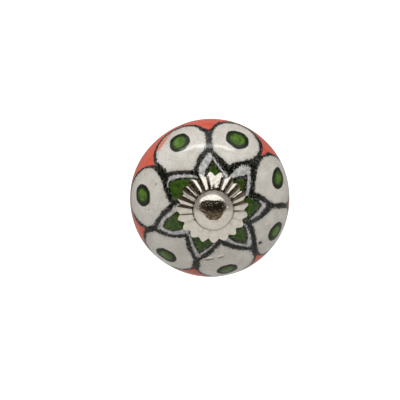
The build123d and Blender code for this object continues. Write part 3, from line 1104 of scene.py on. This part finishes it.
warm = blend(tree, to_right, warm, CARD_RIGHT)
to_left = fade(tree, card_place.outputs["X"], -0.09, -0.13, 0.0, 0.8)
warm = blend(tree, to_left, warm, CARD_LEFT)
cluttered = grain(tree, coordinates, 0.012, detail=2.0)
warm = blend(tree, fade(tree, cluttered, 0.59, 0.65, 0.0, 0.6), warm, PALE_CLUTTER)
warm = blend(tree, fade(tree, cluttered, 0.46, 0.34, 0.0, 0.9), warm, DARK_CLUTTER)
tree.links.new(warm, felt_shader.inputs["Emission Color"])
felt_shader.inputs["Emission Strength"].default_value = 1.0
card.data.materials.append(felt)
card.visible_camera = False
card.visible_diffuse = False
card.visible_shadow = False


def soft_light(name, towards, distance, size, radiance, in_reflections):
    """An area lamp of a set brightness that faces the knob from an azimuth and elevation."""
    azimuth, elevation = (math.radians(degrees) for degrees in towards)
    way = Vector((
        math.sin(azimuth) * math.cos(elevation),
        -math.cos(azimuth) * math.cos(elevation),
        math.sin(elevation),
    ))
    lamp = bpy.data.lights.new(name, "AREA")
    lamp.shape = "RECTANGLE"
    lamp.size, lamp.size_y = size
    lamp.energy = radiance * math.pi * size[0] * size[1]
    light = bpy.data.objects.new(name, lamp)
    light.location = KNOB_MIDDLE + way * distance
    light.rotation_euler = way.to_track_quat("Z", "Y").to_euler()
    light.visible_camera = False
    light.visible_glossy = in_reflections
    bpy.context.scene.collection.objects.link(light)
    return light


soft_light(
    "soft_box", towards=(-14, 64), distance=0.4, size=(1.2, 0.3), radiance=0.91, in_reflections=True
)
tube = soft_light(
    "bare_tube", towards=(-3.5, 60), distance=0.41, size=(0.45, 0.03), radiance=12.5, in_reflections=True
)
glint_on = bpy.data.collections.new("glint_on")
glint_on.objects.link(ceramic)
tube.light_linking.receiver_collection = glint_on
soft_light(
    "front_fill", towards=(-6, 22), distance=0.9, size=(0.8, 0.6), radiance=1.28, in_reflections=False
)

# The room lights everything evenly, and the metal sees its walls, its ceiling and a small window.
ROOM_LIGHT = 0.34
WALL_FOOT = 0.44
WALL_TOP = 0.27
CEILING_ADDS = 0.3
LEFT_WALL_ADDS = -0.14
WINDOW_ADDS = 0.6
WINDOW_TOWARDS = (0.96, -0.24, 0.14)

world = bpy.data.worlds.new("studio_room")
bpy.context.scene.world = world
world.use_nodes = True
tree = world.node_tree
tree.nodes.clear()
rays = tree.nodes.new("ShaderNodeLightPath")
background = tree.nodes.new("ShaderNodeBackground")
background.inputs["Color"].default_value = (1, 1, 1, 1)
direction = tree.nodes.new("ShaderNodeTexCoord").outputs["Generated"]
sky = tree.nodes.new("ShaderNodeSeparateXYZ")
tree.links.new(direction, sky.inputs[0])
wall = fade(tree, sky.outputs["Z"], 0.0, 0.3, WALL_FOOT, WALL_TOP)
wall = calc(tree, "ADD", wall, fade(tree, sky.outputs["Z"], 0.8, 0.98, 0.0, CEILING_ADDS))
wall = calc(tree, "ADD", wall, fade(tree, sky.outputs["X"], -0.95, -0.7, LEFT_WALL_ADDS, 0.0))
off_window = vector_calc(tree, "DISTANCE", direction, WINDOW_TOWARDS, output="Value")
wall = calc(tree, "ADD", wall, fade(tree, off_window, 0.09, 0.05, 0.0, WINDOW_ADDS))
glossy_level = calc(tree, "MULTIPLY", rays.outputs["Is Glossy Ray"], wall)
seen_through = rays.outputs["Is Transmission Ray"]
camera_level = calc(tree, "MAXIMUM", rays.outputs["Is Camera Ray"], seen_through)
level = calc(tree, "MAXIMUM", calc(tree, "MAXIMUM", camera_level, glossy_level), ROOM_LIGHT)
tree.links.new(level, background.inputs["Strength"])
output = tree.nodes.new("ShaderNodeOutputWorld")
tree.links.new(background.outputs[0], output.inputs["Surface"])
bpy.context.scene.view_settings.view_transform = "Standard"


# Camera
# A long lens at the photograph's viewing angle, a little above the bolt's axis and to its left. Its aim
# sets the knob where the photograph's frame has it.
CAMERA_AZIMUTH = math.radians(-2.9)
CAMERA_ELEVATION = math.radians(11.4)
CAMERA_DISTANCE = 0.45
VIEW_WIDTH = 99.9 * MM
AIM_LEFT = 2.49 * MM
AIM_BELOW = 0.45 * MM
SENSOR_WIDTH = 36.0

to_camera = Vector((
    math.sin(CAMERA_AZIMUTH) * math.cos(CAMERA_ELEVATION),
    -math.cos(CAMERA_AZIMUTH) * math.cos(CAMERA_ELEVATION),
    math.sin(CAMERA_ELEVATION),
))
sight = to_camera.to_track_quat("Z", "Y")
aim = KNOB_MIDDLE + sight @ Vector((-AIM_LEFT, -AIM_BELOW, 0))
lens = bpy.data.cameras.new("camera")
lens.sensor_width = SENSOR_WIDTH
lens.lens = SENSOR_WIDTH * CAMERA_DISTANCE / VIEW_WIDTH
lens.clip_start = 10 * MM
camera = bpy.data.objects.new("camera", lens)
camera.location = aim + to_camera * CAMERA_DISTANCE
camera.rotation_euler = sight.to_euler()
bpy.context.scene.collection.objects.link(camera)
bpy.context.scene.camera = camera
